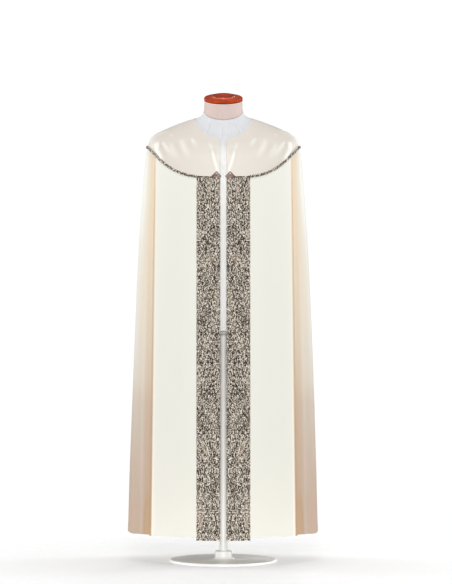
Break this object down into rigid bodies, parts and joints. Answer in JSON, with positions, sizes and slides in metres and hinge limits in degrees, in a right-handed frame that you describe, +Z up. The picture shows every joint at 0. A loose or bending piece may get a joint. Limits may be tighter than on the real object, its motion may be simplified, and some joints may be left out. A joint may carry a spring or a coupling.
{
  "type": "cope vestment on a limbless dress form",
  "caption": "Long open cope in ivory cloth with a satin yoke, flecked brocade bands and braid and a two-part metal clasp, resting on a limbless dress form on a round stand.",
  "frame": {"origin": "on the floor, at the middle of the round base under the pole", "axes": "+Z up, -Y the way that the wearer faces, +X the wearer's left"},
  "size_m": [0.6485, 0.4612, 1.5936],
  "materials": {
    "cope_cloth": "smooth matt ivory cloth with a fine weave",
    "yoke_satin": "ivory satin with a soft sheen",
    "flecked_brocade": "taupe, cream and dark brown fleck weave with a faint lustre",
    "flecked_braid": "twisted braid in the colours of the bands",
    "clasp_metal": "rose bronze, polished on the high places and dark in the hollows",
    "clasp_pearl": "pearl white, glossy",
    "form_linen": "tight plain cover cloth, pinkish cream",
    "cap_wood": "red stain under gloss lacquer",
    "stand_enamel": "warm white, satin"
  },
  "bodies": {
    "root": {"yoke_front_left": "yoke_satin", "yoke_front_right": "yoke_satin", "yoke_back": "yoke_satin", "body_front_left": "cope_cloth", "body_front_right": "cope_cloth", "body_back_left": "cope_cloth", "body_back_right": "cope_cloth", "orphrey_left": "flecked_brocade", "orphrey_right": "flecked_brocade", "braid_front_left": "flecked_braid", "braid_front_right": "flecked_braid", "braid_back": "flecked_braid", "clasp_left": "clasp_metal", "clasp_right": "clasp_metal", "clasp_left_pearl": "clasp_pearl", "clasp_right_pearl": "clasp_pearl", "form_torso": "form_linen", "form_neck_cap": "cap_wood", "stand_pole": "stand_enamel", "stand_base": "stand_enamel"}
  },
  "joints": []
}
